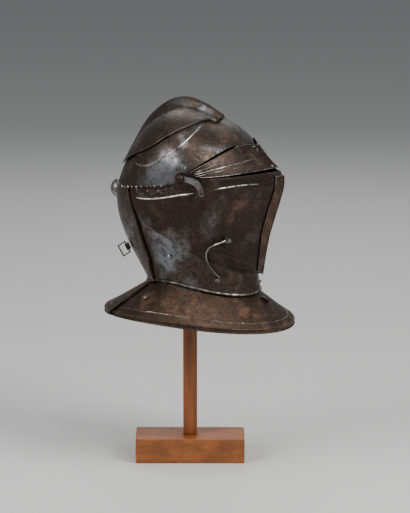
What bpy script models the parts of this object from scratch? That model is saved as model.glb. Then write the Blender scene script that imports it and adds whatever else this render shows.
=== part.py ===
"""Armet: a close steel helmet of pivoted plates, on a plain wooden stand.

The helmet faces -Y, up is +Z, and the wearer's right is -X.  The origin is the middle of the
stand's underside, on the axis of its post.  Every plate is lofted about the temple axis: an
angle of 0 looks straight ahead, 90 up, 180 back, and a section runs from the temple outwards.
"""
import math

import bmesh
import bpy
from mathutils import Matrix, Vector

MM = 0.001

# Driving sizes, in millimetres.
PIVOT_FORWARD = 22.0      # temple axis, ahead of the post
PIVOT_UP = 416.6          # temple axis, above the ground
TEMPLE = 99.8             # inner face of the skull at the temple, from the middle plane
PLATE = 1.4               # thickness of a plate
LAYER = 2.2               # from one plate's face to the next one's
GAP = 0.3                 # clearance between pieces that touch
LAP = 0.6                 # extra clearance where two broad plates lap
TUCK = 0.8                # the bevor's extra depth under the plates that overlap it
HUB_STEPS = (5.0, 14.0, 24.0)    # distances of a plate's first points, from inside its ear
EAR_RADIUS = 8.0
HUB_FLAT = (9.0, 27.0)    # plates lie flat round the pin, then blend into their curve
EAR_HOLE = 2.8
SHANK_RADIUS = 2.4
VISOR_TEMPLE = TEMPLE + LAYER
VENTAIL_TEMPLE = VISOR_TEMPLE + LAYER

# Stand
BASE_LONG = 152.0
BASE_DEEP = 65.0
BASE_HEIGHT = 35.0
STAND_EDGE = 1.2          # rounding of the wood's edges
POST_SIDE = 19.5
POST_TOP = 487.0
STAND_TURN = -72.0        # the stand's long side, turned about Z from +X

# Neck ring and collar
NECK_MID = 21.0           # forward of the post
NECK_HALF_DEEP = 79.0
NECK_HALF_WIDE = 68.0
NECK_ARCH = 12.0          # rise of the neck ring at its sides
NECK_ARCH_REAR = 0.8      # how far that rise leans to the rear
NECK_UP_REAR = 253.6
NECK_UP_FRONT = 243.6
RIM_MID = 15.0
RIM_HALF_DEEP = 132.0
RIM_HALF_WIDE = 106.0
RIM_ARCH = 8.0            # rise of the rim over the shoulders
RIM_ARCH_REAR = 0.5
RIM_UP_REAR = 214.6
RIM_UP_FRONT = 204.6
COLLAR_INSET = 9.5        # the collar's neck stands this far inside the bevor
COLLAR_RISE = 3.0         # and starts this far above the neck ring
COLLAR_SEAM = 150.0       # half the front collar's sweep, in degrees from straight ahead

# Fittings
STUD_SEAT = PLATE + 0.4   # a head's flat underside, above a curved plate's inner face
COLLAR_SEAT = 0.5         # the same above the collar's outer face
KNOB_RADIUS = 6.0
KNOB_HEIGHT = 6.5
LEVER_THICK = 2.0
LEVER_EYE = 1.7
LEVER_ROWS = (
    # ahead, up, half width
    (0.0, 0.0, 4.4),
    (8.0, -1.0, 3.2),
    (16.0, -2.5, 4.2),
    (23.0, -5.5, 4.4),
    (27.5, -11.0, 3.8),
    (29.5, -19.5, 4.2),
)
NAPE_STUD_ANGLE = 197.5
UPPER_RIVET = (118.0, 0.16, 0.0)   # turn, share of the way to the rim, lift
LOWER_RIVET = (126.0, 0.52, 0.0)
HOOK_AT = (284.0, 149.0)  # angle and distance from the temple axis
PEG_AT = (300.0, 100.0)
PEG_EYE = 4.0             # the hook's eye turns this far up the peg
HOOK_LEAN = 0.30          # the hook's axis leans this share of the way to the peg's direction
HOOK_WIRE = 1.3
HOOK_EYE = (3.7, 2.4, 1.8)    # outer and inner radius, thickness
HOOK_ROUTE = (
    # rearward, share of the way from stud to peg, height above the bevor's inner face
    (3.0, 0.985, 8.8),
    (6.6, 0.955, 10.6),
    (12.0, 0.93, 13.6),
    (19.3, 0.89, 16.8),
    (25.4, 0.808, 16.6),
    (27.3, 0.678, 14.4),
    (25.2, 0.535, 12.8),
    (19.6, 0.385, 10.8),
    (12.6, 0.262, 7.8),
    (4.4, 0.14, 5.0),
    (0.2, 0.085, 4.1),
    (-2.8, 0.05, 4.0),
    (-3.9, 0.0, 4.0),
    (-2.8, -0.05, 4.0),
    (0.2, -0.07, 4.0),
)
BUCKLE_AT = (228.5, 150.0)
BUCKLE_SEAT = 2.4
BUCKLE_STAND = 6.0
BUCKLE_LOOP = (16.0, 13.0)     # width and drop of the buckle's frame

# Skull: angle, reach of the bowl, run of the flat temple, then the inset and flare that
# shape the section's end, and the comb's height.
SKULL_ROWS = (
    # angle, reach, shoulder, inset, flare, comb
    (18.0, 78.0, 42.0, 9.0, 42.0, 0.0),
    (30.0, 73.5, 42.0, 6.0, 45.0, 0.0),
    (50.0, 67.5, 40.0, 2.0, 50.0, 2.0),
    (72.0, 66.0, 42.0, 0.0, 52.0, 6.5),
    (90.0, 71.5, 46.0, 0.0, 54.0, 11.0),
    (109.0, 82.0, 52.0, 0.0, 58.0, 13.5),
    (129.0, 86.5, 56.0, 0.0, 62.0, 11.5),
    (146.0, 91.0, 58.0, 0.0, 60.0, 7.5),
    (164.0, 98.0, 64.0, 0.0, 54.0, 4.5),
    (180.0, 110.5, 72.0, 0.0, 52.0, 2.0),
    (191.0, 121.5, 77.0, 0.0, 52.0, 0.5),
    (204.0, 134.0, 82.0, 0.0, 53.0, 0.0),
    (222.0, 150.0, 85.0, 3.0, 52.0, 0.0),
    (235.0, 165.5, 82.0, 10.0, 52.0, 0.0),
)
# Neck: turn about the ring from its rear, and the same shape columns.
NECK_ROWS = (
    # turn, shoulder, inset, flare
    (0.0, 78.0, 20.0, 58.0),
    (30.0, 74.0, 36.0, 28.0),
    (60.0, 68.0, 44.0, 10.0),
    (90.0, 65.0, 45.0, 5.0),
    (120.0, 64.0, 44.0, 8.0),
    (150.0, 62.0, 40.0, 22.0),
    (180.0, 60.0, 30.0, 40.0),
)
CHIN_ROWS = (
    # angle, reach, shoulder, inset, flare
    (298.0, 166.0, 60.0, 26.0, 42.0),
    (305.0, 137.0, 58.0, 18.0, 44.0),
    (312.0, 116.0, 56.0, 12.0, 46.0),
)
VISOR_ROWS = (
    # angle, reach, end width, shoulder, inset, flare, comb
    (0.5, 103.5, 0.0, 51.0, 26.0, 42.0, 0.0),
    (5.0, 96.5, 0.0, 50.0, 20.0, 42.0, 0.0),
    (11.0, 89.0, 0.0, 49.0, 14.0, 42.0, 0.0),
    (17.0, 83.5, 0.0, 48.0, 10.0, 43.0, 0.0),
    (27.5, 78.5, 0.0, 47.0, 8.0, 45.0, 0.0),
    (32.0, 76.5, 0.0, 46.0, 8.0, 46.0, 0.0),
)
VENTAIL_ROWS = (
    # angle, reach, end width, shoulder, inset, flare, comb
    (193.0, 163.0, 66.4, 44.9, 57.3, 10.9, 0.0),
    (240.0, 163.0, 66.4, 44.9, 57.3, 10.9, 0.0),
    (266.0, 163.0, 66.4, 44.9, 57.3, 10.9, 0.0),
    (280.0, 170.0, 60.0, 53.0, 46.0, 16.0, 0.0),
    (288.0, 180.0, 43.0, 60.0, 38.0, 33.0, 0.0),
    (294.0, 184.0, 18.0, 64.0, 30.0, 48.0, 0.0),
    (298.5, 166.5, 0.0, 64.0, 28.0, 48.0, 0.0),
    (306.0, 142.5, 0.0, 64.0, 36.0, 42.0, 0.0),
    (315.0, 125.5, 0.0, 62.0, 38.0, 42.0, 0.0),
    (330.0, 113.5, 0.0, 61.0, 37.0, 43.0, 0.0),
    (345.0, 110.6, 0.0, 60.0, 36.0, 44.0, 0.0),
    (351.0, 111.3, 0.0, 60.0, 36.0, 44.0, 0.0),
    (355.0, 109.0, 0.0, 59.0, 34.0, 44.0, 0.0),
    (359.0, 104.8, 0.0, 56.0, 30.0, 42.0, 0.0),
)
# Edges of the sight: share of a section from temple to middle, angle.
BROW_EDGE = ((0.0, 38.0), (0.4, 36.5), (0.74, 33.5), (0.84, 28.5), (0.90, 22.0), (1.0, 18.5))
VISOR_EDGE = ((0.0, 32.0), (0.4, 31.5), (0.78, 29.8), (0.88, 26.5), (1.0, 22.5))
HEM_ANGLE = 189.5         # the skull's roped hem runs back at this angle
HEM_DROP = 7.5            # and passes this far below the temple pin
KEEL_REACH = 12.0         # the keel strip's depth behind the prow's edge
# Where plates end: angle, distance from the temple axis.
CROWN_EDGE = ((72.0, 65.0), (79.0, 66.0), (86.0, 64.5), (96.0, 60.0), (115.0, 56.0),
              (138.0, 57.0), (155.0, 67.0), (168.0, 86.0), (176.0, 99.0), (180.0, 107.0))
VENTAIL_EDGE = ((193.0, 80.0), (205.0, 86.0), (228.0, 90.0), (249.0, 89.0), (262.0, 96.0),
                (275.0, 109.0), (281.0, 118.0), (288.0, 127.0), (295.0, 150.0), (298.5, 168.0))


# ---------------------------------------------------------------- helpers
def clear_scene():
    for item in list(bpy.data.objects):
        bpy.data.objects.remove(item)


def new_collection(name):
    group = bpy.data.collections.new(name)
    bpy.context.scene.collection.children.link(group)
    return group


def material(name, colour, roughness, metallic):
    finish = bpy.data.materials.new(name)
    finish.use_nodes = True
    shader = finish.node_tree.nodes["Principled BSDF"]
    shader.inputs["Base Color"].default_value = (*colour, 1.0)
    shader.inputs["Roughness"].default_value = roughness
    shader.inputs["Metallic"].default_value = metallic
    return finish


def slopes(rows, column):
    """Slope of one column at each row, from its neighbours."""
    count = len(rows)
    found = []
    for i in range(count):
        low, high = rows[max(i - 1, 0)], rows[min(i + 1, count - 1)]
        found.append((high[column] - low[column]) / (high[0] - low[0]))
    return found


def smooth_value(rows, column, at):
    """Read a column of a table on a smooth curve through its rows."""
    at = min(max(at, rows[0][0]), rows[-1][0])
    index = 0
    while index < len(rows) - 2 and at > rows[index + 1][0]:
        index += 1
    low, high = rows[index], rows[index + 1]
    width = high[0] - low[0]
    u = (at - low[0]) / width
    slope = slopes(rows, column)
    return ((2 * u**3 - 3 * u**2 + 1) * low[column] + (u**3 - 2 * u**2 + u) * width * slope[index]
            + (3 * u**2 - 2 * u**3) * high[column] + (u**3 - u**2) * width * slope[index + 1])


def ramp(value, low, high):
    """0 below low, 1 above high, smooth between."""
    u = min(max((value - low) / (high - low), 0.0), 1.0)
    return u * u * (3 - 2 * u)


def ring_height(turn, rear_up, front_up, arch, weight):
    """Height of a ring that leans forward and arches over the shoulders; turn 0 is the rear."""
    lean = (1 - math.cos(turn)) / 2
    return rear_up + (front_up - rear_up) * lean + arch * math.sin(turn)**2 * (1 + weight * math.cos(turn))


def neck_ring(turn):
    """A point of the neck ring, turned from its rear: ahead of and above the temple axis, and its width."""
    angle = math.radians(turn)
    ahead = NECK_MID - NECK_HALF_DEEP * math.cos(angle) - PIVOT_FORWARD
    up = ring_height(angle, NECK_UP_REAR, NECK_UP_FRONT, NECK_ARCH, NECK_ARCH_REAR) - PIVOT_UP
    return ahead, up, NECK_HALF_WIDE * math.sin(angle)


def neck_angle(turn):
    ahead, up, _ = neck_ring(turn)
    return math.degrees(math.atan2(up, ahead)) % 360


def neck_row(turn):
    """The section that ends on a point of the neck ring."""
    ahead, up, end = neck_ring(turn)
    return (neck_angle(turn), math.hypot(ahead, up), end,
            *(smooth_value(NECK_ROWS, column, turn) for column in (1, 2, 3)), 0.0)


class Form:
    """A plate surface: sections about the temple axis, each a cubic from temple to end."""

    def __init__(self, rows, temple, crest=1.0):
        self.rows = rows
        self.temple = temple
        self.crest = crest

    def shape(self, angle):
        return [smooth_value(self.rows, column, angle) for column in range(1, 7)]

    def section(self, angle, t):
        reach, end, run, inset, flare, comb = self.shape(angle)
        end = max(end, 0.0)
        flare = min(flare, self.temple - end)
        weights = ((1 - t)**3, 3 * t * (1 - t)**2, 3 * t * t * (1 - t), t**3)
        out = sum(w * v for w, v in zip(weights, (0.0, run, reach - inset, reach)))
        wide = sum(w * v for w, v in zip(weights, (self.temple, self.temple, end + flare, end)))
        wide += (self.temple - wide) * (1 - ramp(out, *HUB_FLAT))
        return out + comb * self.crest * math.exp(-(wide / 7.5)**2), wide

    def lifted(self, angle, t, lift):
        """A section's point, moved off the surface by lift."""
        step = 0.004
        a, b = self.section(angle, max(t - step, 0.0)), self.section(angle, min(t + step, 1.0))
        run, drop = b[0] - a[0], b[1] - a[1]
        length = math.hypot(run, drop)
        out, wide = self.section(angle, t)
        out, wide = out - lift * drop / length, wide + lift * run / length
        if t > 0.9999 and self.section(angle, 1.0)[1] < 0.01:
            out += wide * run / -drop
            wide = 0.0
        return out, wide

    def point(self, angle, t, lift=0.0, side=-1):
        out, wide = self.lifted(angle, t, lift)
        turn = math.radians(angle)
        forward = PIVOT_FORWARD + out * math.cos(turn)
        up = PIVOT_UP + out * math.sin(turn)
        return Vector((side * wide, -forward, up)) * MM

    def at_distance(self, angle, distance):
        """The section's parameter at a distance from the temple axis."""
        low, high = 0.0, 1.0
        for _ in range(30):
            middle = (low + high) / 2
            if self.section(angle, middle)[0] < distance:
                low = middle
            else:
                high = middle
        return (low + high) / 2

    def frame(self, angle, distance, lift=0.0, side=-1):
        """A point on the surface with its outward normal and its outward-running tangent."""
        t = self.at_distance(angle, distance)
        here = self.point(angle, t, lift, side)
        along = self.point(angle, min(t + 0.02, 1.0), lift, side) - self.point(angle, t - 0.02, lift, side)
        around = self.point(angle + 1, t, lift, side) - self.point(angle - 1, t, lift, side)
        normal = along.cross(around) * -side
        return here, normal.normalized(), along.normalized()


class SkullForm(Form):
    """The bowl and chin, with sections that end on the neck ring between them."""

    def __init__(self, crest=1.0):
        bowl = [(angle, reach, 0.0, *rest) for angle, reach, *rest in SKULL_ROWS]
        chin = [(angle, reach, 0.0, *rest, 0.0) for angle, reach, *rest in CHIN_ROWS]
        self.chin = [neck_row(180.0)] + chin
        super().__init__(bowl + [neck_row(0.0)], TEMPLE, crest)

    def shape(self, angle):
        if angle <= self.rows[-1][0]:
            return super().shape(angle)
        if angle >= self.chin[0][0]:
            return [smooth_value(self.chin, column, angle) for column in range(1, 7)]
        low, high = 0.0, 180.0
        for _ in range(24):
            middle = (low + high) / 2
            if neck_angle(middle) < angle:
                low = middle
            else:
                high = middle
        return neck_row(low)[1:]


SKULL = SkullForm()
BROW = SkullForm(crest=0.25)
VISOR = Form(VISOR_ROWS, VISOR_TEMPLE)
VENTAIL = Form(VENTAIL_ROWS, VENTAIL_TEMPLE)


def add_object(name, mesh, group, finish):
    item = bpy.data.objects.new(name, mesh)
    group.objects.link(item)
    if finish:
        item.data.materials.append(finish)
    return item


def smooth_faces(mesh, limit=40.0):
    mesh.shade_smooth()
    mesh.set_sharp_from_angle(angle=math.radians(limit))


def grid_mesh(name, columns):
    """Join rows of points, each a column across the plate, into a mesh of quads."""
    shape = bmesh.new()
    lines = [[shape.verts.new(p) for p in column] for column in columns]
    for left, right in zip(lines, lines[1:]):
        for k in range(len(left) - 1):
            shape.faces.new((left[k], right[k], right[k + 1], left[k + 1]))
    mesh = bpy.data.meshes.new(name)
    shape.to_mesh(mesh)
    shape.free()
    smooth_faces(mesh)
    return mesh


def wall(item, clear=0.0):
    """Mirror a half plate across the middle plane and give it its wall, outwards from clear."""
    mirror = item.modifiers.new("Mirror", "MIRROR")
    mirror.use_axis = (True, False, False)
    mirror.merge_threshold = 0.00005
    solid = item.modifiers.new("Solidify", "SOLIDIFY")
    solid.thickness = PLATE * MM
    solid.offset = -1 - 2 * clear / PLATE
    solid.use_even_offset = True


def spread(start, stop, count):
    return [start + (stop - start) * i / (count - 1) for i in range(count)]


def cylinder(name, radius, length, centre, axis, group, finish=None, sides=16):
    shape = bmesh.new()
    bmesh.ops.create_cone(shape, cap_ends=True, segments=sides, radius1=radius * MM,
                          radius2=radius * MM, depth=length * MM)
    turn = Vector((0, 0, 1)).rotation_difference(axis).to_matrix().to_4x4()
    bmesh.ops.transform(shape, matrix=Matrix.Translation(centre) @ turn, verts=shape.verts)
    mesh = bpy.data.meshes.new(name)
    shape.to_mesh(mesh)
    shape.free()
    smooth_faces(mesh)
    return add_object(name, mesh, group, finish)


def join_or_cut(item, tool, operation):
    change = item.modifiers.new(operation.title(), "BOOLEAN")
    change.operation = operation
    change.solver = "EXACT"
    change.object = tool
    tool.hide_render = True
    tool.display_type = "WIRE"


def turned(name, profile, centre, axis, group, finish, sides=16):
    """Turn a profile of (radius, height) points, top to bottom, about an axis."""
    shape = bmesh.new()
    ring = profile[0] == profile[-1]
    points = [shape.verts.new((radius * MM, 0, height * MM)) for radius, height in profile[:len(profile) - ring]]
    for upper, lower in zip(points, points[1:] + points[:1] * ring):
        shape.edges.new((upper, lower))
    mesh = bpy.data.meshes.new(name)
    shape.to_mesh(mesh)
    shape.free()
    item = add_object(name, mesh, group, finish)
    screw = item.modifiers.new("Screw", "SCREW")
    screw.steps = screw.render_steps = sides
    screw.use_merge_vertices = True
    screw.merge_threshold = 0.00001
    screw.use_smooth_shade = True
    item.location = centre
    item.rotation_mode = "QUATERNION"
    item.rotation_quaternion = Vector((0, 0, 1)).rotation_difference(axis)
    return item


def dome_profile(radius, height, skirt, steps=3):
    """Half of a dome's outline, down to a flat underside at height 0."""
    arc = [math.radians(90 * i / steps) for i in range(steps + 1)]
    rows = [(radius * math.sin(a), skirt + (height - skirt) * math.cos(a)) for a in arc]
    return rows + [(radius, 0.0), (0.0, 0.0)]


# ---------------------------------------------------------------- skull
def fan(form, angle, stop, count):
    """Where a pivoted plate's section is sampled: round the pin, then evenly to its end."""
    near = [form.at_distance(angle, distance) for distance in HUB_STEPS]
    return near[:-1] + spread(near[-1], stop, count)


def add_ears(item, temple, cutters):
    """Close a plate round the temple pin on both sides with a pierced ear."""
    for side, word in ((-1, "right"), (1, "left")):
        middle = Vector((side * (temple + PLATE / 2), -PIVOT_FORWARD, PIVOT_UP)) * MM
        axis = Vector((1, 0, 0))
        ear = cylinder(f"{item.name}_ear_{word}", EAR_RADIUS, PLATE, middle, axis, cutters, sides=20)
        hole = cylinder(f"{item.name}_hole_{word}", EAR_HOLE, PLATE * 6, middle, axis, cutters)
        join_or_cut(item, ear, "UNION")
        join_or_cut(item, hole, "DIFFERENCE")


def crown_start(angle):
    return SKULL.at_distance(angle, smooth_value(CROWN_EDGE, 1, angle))


def make_skull_crown(group, steel):
    columns = []
    for angle in spread(71.5, 178.0, 15):
        start = crown_start(angle)
        spots = [start + (1 - start) * (1 - (1 - k / 8)**1.5) for k in range(9)]
        columns.append([SKULL.point(angle, t, LAYER + LAP) for t in spots])
    item = add_object("skull_crown", grid_mesh("skull_crown", columns), group, steel)
    wall(item)


def hem_shift(form, angle, t, drop, steepest=1.0):
    """Extra angle that keeps an edge straight, a fixed distance below the temple axis."""
    return math.degrees(math.asin(min(drop / form.section(angle, t)[0], steepest)))


def make_skull_side(group, cutters, steel):
    columns = []
    first, free, turn_free, last = BROW_EDGE[0][1], 54.0, 150.0, HEM_ANGLE
    angles = spread(first, free, 4) + spread(free, last, 15)[1:]
    for angle in angles:
        stop = 1.0
        if 72.0 < angle < 170.0:
            stop = min(crown_start(angle) + 0.10 + 0.3 * ramp(84.0 - angle, 0.0, 12.0), 1.0)
        column = []
        for t in fan(BROW, angle, stop, 9):
            shift = max((free - angle) / (free - first), 0.0) * (smooth_value(BROW_EDGE, 1, t) - first)
            hem = max((angle - turn_free) / (last - turn_free), 0.0) * hem_shift(BROW, angle, t, HEM_DROP)
            column.append(BROW.point(angle + shift + hem, t))
        columns.append(column)
    item = add_object("skull_side", grid_mesh("skull_side", columns), group, steel)
    wall(item)
    add_ears(item, TEMPLE, cutters)


def ray_to_line(angle, start, stop):
    """Distance from the temple axis, at an angle, to the line through two points of its plane."""
    turn = math.radians(angle)
    run, rise = stop[0] - start[0], stop[1] - start[1]
    return (start[0] * rise - start[1] * run) / (math.cos(turn) * rise - math.sin(turn) * run)


def make_nape_plate(group, steel):
    columns = []
    first, centre, last = HEM_ANGLE, neck_angle(0.0), neck_angle(44.0)
    for angle in spread(first, centre, 7) + [neck_angle(turn) for turn in spread(11.0, 44.0, 4)]:
        start = SKULL.at_distance(angle, ray_to_line(angle, (-84.0, -22.0), (-58.0, -163.0)))
        column = []
        for k in range(7):
            t = start + (1 - start) * k / 6
            share = (last - angle) / (last - first)
            if angle > centre - 0.01:
                share *= 1 - ramp(t, 0.7, 1.0)
            column.append(SKULL.point(angle + share * hem_shift(SKULL, angle, t, HEM_DROP + GAP), t))
        columns.append(column)
    item = add_object("nape_plate", grid_mesh("nape_plate", columns), group, steel)
    wall(item)


# ---------------------------------------------------------------- pivoted plates
PROW_ANGLES = spread(298.5, 355.5, 9)
VENTAIL_STEPS = 9
VENTAIL_TOP_LIFT = 0.4      # the top edge stands out this far, to pass over the visor


def make_visor(group, cutters, steel):
    columns = []
    low, high = 1.1, VISOR_EDGE[0][1]
    for angle in spread(low, high, 5):
        column = []
        for t in fan(VISOR, angle, 1.0, 11):
            dip = (smooth_value(VISOR_EDGE, 1, t) - high) * (angle - low) / (high - low)
            column.append(VISOR.point(angle + dip, t))
        columns.append(column)
    item = add_object("visor", grid_mesh("visor", columns), group, steel)
    wall(item)
    add_ears(item, VISOR_TEMPLE, cutters)


def make_ventail(group, cutters, steel):
    columns = []
    first, free = HEM_ANGLE + 0.8, 300.0
    for angle in spread(first, 281.0, 8) + [287.5, 293.0] + PROW_ANGLES + [358.7]:
        stop = 1.0
        if angle < 298.4:
            stop = VENTAIL.at_distance(angle, smooth_value(VENTAIL_EDGE, 1, angle))
        column = []
        for t in fan(VENTAIL, angle, stop, VENTAIL_STEPS):
            share = max((free - angle) / (free - first), 0.0)
            shift = hem_shift(VENTAIL, angle, t, HEM_DROP + 1.0, steepest=0.5)
            lift = VENTAIL_TOP_LIFT if angle > PROW_ANGLES[-1] else 0.0
            column.append(VENTAIL.point(angle + share * shift, t, lift))
        columns.append(column)
    item = add_object("ventail", grid_mesh("ventail", columns), group, steel)
    wall(item)
    add_ears(item, VENTAIL_TEMPLE, cutters)


def make_keel_strip(group, steel):
    columns = []
    for angle in PROW_ANGLES:
        before, last = fan(VENTAIL, angle, 1.0, VENTAIL_STEPS)[-2:]
        inner, edge = VENTAIL.point(angle, before), VENTAIL.point(angle, last)
        columns.append([edge + (inner - edge).normalized() * KEEL_REACH * MM, edge])
    item = add_object("keel_strip", grid_mesh("keel_strip", columns), group, steel)
    wall(item, clear=PLATE + LAP)


def make_bevor(group, cutters, steel):
    columns = []
    neck = [neck_angle(turn) for turn in spread(26.0, 180.0, 13)]
    for angle in spread(195.0, neck[0], 6)[:-1] + neck + spread(neck[-1], 305.0, 3)[1:]:
        stop = 1.0
        rear = ray_to_line(angle, (-90.0, -18.0), (-64.0, -163.0)) if angle < 252 else 999.0
        if rear < SKULL.section(angle, 1.0)[0]:
            stop = SKULL.at_distance(angle, rear)
        columns.append([SKULL.point(angle, t, -LAYER - TUCK * ramp(t, 0.1, 0.4))
                        for t in fan(SKULL, angle, stop, 8)])
    item = add_object("bevor", grid_mesh("bevor", columns), group, steel)
    wall(item)
    add_ears(item, TEMPLE - LAYER, cutters)


# ---------------------------------------------------------------- collar
def collar_point(turn, share, lift):
    """A point of the collar: turn from straight ahead, share from the neck to the rim."""
    angle = math.radians(turn)

    def between(neck, rim):
        return neck + (rim - neck) * share

    deep = between(NECK_HALF_DEEP - COLLAR_INSET, RIM_HALF_DEEP) + lift
    wide = between(NECK_HALF_WIDE - COLLAR_INSET, RIM_HALF_WIDE) + lift
    up = ring_height(math.pi - angle, between(NECK_UP_REAR, RIM_UP_REAR),
                     between(NECK_UP_FRONT, RIM_UP_FRONT), between(NECK_ARCH, RIM_ARCH),
                     between(NECK_ARCH_REAR, RIM_ARCH_REAR))
    up += between(COLLAR_RISE, 0.0)
    forward = between(NECK_MID, RIM_MID) + deep * math.cos(angle)
    return Vector((-wide * math.sin(angle), -forward, up + lift * 0.3)) * MM


def collar_mesh(name, turns, lift):
    """Neck, flare and turned-down lip, as rows of points that follow the rim."""
    columns = []
    for turn in turns:
        neck = collar_point(turn, 0.0, lift)
        column = [neck + Vector((0, 0, 5.0)) * MM, neck + Vector((0, 0, 1.0)) * MM]
        column += [collar_point(turn, share, lift) for share in (0.08, 0.35, 0.68, 0.97, 1.0)]
        column.append(column[-1] - Vector((0, 0, 5.0)) * MM)
        columns.append(column)
    return grid_mesh(name, columns)


def make_collar(front_group, steel):
    for name, turns, lift in (("front_collar", spread(-COLLAR_SEAM, COLLAR_SEAM, 31), 0.0),
                              ("rear_collar", spread(COLLAR_SEAM - 5.0, 365.0 - COLLAR_SEAM, 11), LAYER + LAP)):
        item = add_object(name, collar_mesh(name, turns, lift), front_group, steel)
        solid = item.modifiers.new("Solidify", "SOLIDIFY")
        solid.thickness = PLATE * MM
        solid.offset = -1
        solid.use_even_offset = True


# ---------------------------------------------------------------- fittings
def stud(name, form, angle, distance, lift, side, radius, height, group, steel):
    """A domed head resting on a plate."""
    centre, normal, _ = form.frame(angle, distance, lift + STUD_SEAT, side)
    item = turned(name, dome_profile(radius, height, 0.8), centre, normal, group, steel, sides=12)
    return item


def make_temple_studs(group, steel):
    """Knobbed pins through the ears of all four plates; the lever sits under the right one."""
    for side, word, stack in ((-1, "right", LEVER_THICK + GAP), (1, "left", 0.0)):
        face = VENTAIL_TEMPLE + PLATE + GAP + stack
        profile = dome_profile(KNOB_RADIUS, KNOB_HEIGHT, 1.0)[:-1]
        length = face - (TEMPLE - LAYER) + 3.0
        profile += [(SHANK_RADIUS, 0.0), (SHANK_RADIUS, -length), (0.0, -length)]
        centre = Vector((side * face, -PIVOT_FORWARD, PIVOT_UP)) * MM
        turned(f"temple_stud_{word}", profile, centre, Vector((side, 0, 0)), group, steel)


def solid_from_curve(name, curve, group, finish):
    """A closed mesh of a curve's own surface, with its seams merged."""
    item = bpy.data.objects.new(name, curve)
    group.objects.link(item)
    mesh = bpy.data.meshes.new_from_object(item.evaluated_get(bpy.context.evaluated_depsgraph_get()))
    bpy.data.objects.remove(item)
    shape = bmesh.new()
    shape.from_mesh(mesh)
    bmesh.ops.remove_doubles(shape, verts=shape.verts, dist=0.000001)
    bmesh.ops.recalc_face_normals(shape, faces=shape.faces)
    shape.to_mesh(mesh)
    shape.free()
    mesh.materials.clear()
    smooth_faces(mesh)
    return add_object(name, mesh, group, finish)


def flat_bar(name, outline, holes, thickness, group, steel):
    """A flat bar from a closed outline and round holes, as a filled curve."""
    curve = bpy.data.curves.new(name, "CURVE")
    curve.dimensions = "2D"
    curve.fill_mode = "BOTH"
    curve.extrude = thickness / 2 * MM
    rings = [outline]
    for across, along, radius in holes:
        rings.append([(across + radius * math.cos(a), along + radius * math.sin(a))
                      for a in spread(0.0, 2 * math.pi, 17)[:-1]])
    for ring in rings:
        line = curve.splines.new("POLY")
        line.points.add(len(ring) - 1)
        for point, (across, along) in zip(line.points, ring):
            point.co = (across * MM, along * MM, 0, 1)
        line.use_cyclic_u = True
    return solid_from_curve(name, curve, group, steel)


def bar_outline(rows):
    """Both edges of a bar from rows of centre and half width, with round ends."""
    left, right = [], []
    for i, (x, y, half) in enumerate(rows):
        before, after = rows[max(i - 1, 0)], rows[min(i + 1, len(rows) - 1)]
        run = Vector((after[0] - before[0], after[1] - before[1])).normalized()
        left.append((x - run.y * half, y + run.x * half))
        right.append((x + run.y * half, y - run.x * half))

    def cap(centre, start, turn):
        x, y, half = centre
        return [(x + half * math.cos(start + turn * k / 6), y + half * math.sin(start + turn * k / 6))
                for k in range(1, 6)]

    first, last = rows[0], rows[-1]
    head = math.atan2(rows[-1][1] - rows[-2][1], rows[-1][0] - rows[-2][0])
    tail = math.atan2(rows[1][1] - rows[0][1], rows[1][0] - rows[0][0])
    return (left + cap(last, head + math.pi / 2, -math.pi) + right[::-1]
            + cap(first, tail - math.pi / 2, -math.pi))


def make_visor_lever(group, steel):
    """Lifting lever on the right temple pin: a bar that drops to a pierced end."""
    item = flat_bar("visor_lever", bar_outline(LEVER_ROWS),
                    [(0.0, 0.0, EAR_HOLE), (LEVER_ROWS[-1][0], LEVER_ROWS[-1][1], LEVER_EYE)],
                    LEVER_THICK, group, steel)
    item.location = Vector((-(VENTAIL_TEMPLE + PLATE + GAP + LEVER_THICK / 2), -PIVOT_FORWARD, PIVOT_UP)) * MM
    item.rotation_euler = (math.pi / 2, 0, -math.pi / 2)


def make_studs(group, steel):
    for side, word in ((-1, "right"), (1, "left")):
        stud(f"cheek_rivet_{word}", SKULL, 256.5, 118.5, -LAYER - TUCK, side, 3.4, 3.0, group, steel)
        stud(f"visor_rivet_{word}", VISOR, 3.0, 96.0, 0.0, side, 1.9, 1.5, group, steel)
    nape = SKULL.point(NAPE_STUD_ANGLE, 1.0)
    run = SKULL.point(NAPE_STUD_ANGLE + 3.0, 1.0) - SKULL.point(NAPE_STUD_ANGLE - 3.0, 1.0)
    out = Vector((0, -run.z, run.y)).normalized()
    turned("nape_stud", dome_profile(13.5, 13.0, 2.5, steps=5), nape + out * STUD_SEAT * MM, out,
           group, steel, sides=20)
    chin = SKULL.point(296.0, 1.0, -LAYER - TUCK) + Vector((0, -PLATE - 0.6, 0)) * MM
    turned("chin_stud", dome_profile(2.2, 3.2, 1.2), chin, Vector((0, -1, 0)), group, steel, sides=12)


def collar_seat(turn, share, lift, side):
    """A point on the collar with its outward normal."""
    here = collar_point(turn, share, lift)
    down = collar_point(turn, share + 0.02, lift) - collar_point(turn, share - 0.02, lift)
    around = collar_point(turn + 1, share, lift) - collar_point(turn - 1, share, lift)
    normal = around.cross(down).normalized()
    if side > 0:
        here.x, normal.x = -here.x, -normal.x
    return here + normal * COLLAR_SEAT * MM, normal


def make_collar_rivets(group, steel):
    for side, word in ((-1, "right"), (1, "left")):
        centre, normal = collar_seat(*UPPER_RIVET, side)
        profile = [(2.6, 1.6), (4.0, 1.6), (4.2, 0.9), (4.2, 0.0), (2.6, 0.0), (2.6, 1.6)]
        turned(f"collar_eyelet_{word}", profile, centre, normal, group, steel)
        centre, normal = collar_seat(*LOWER_RIVET, side)
        turned(f"collar_rivet_{word}", dome_profile(3.6, 1.8, 0.6), centre, normal, group, steel, sides=12)


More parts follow.
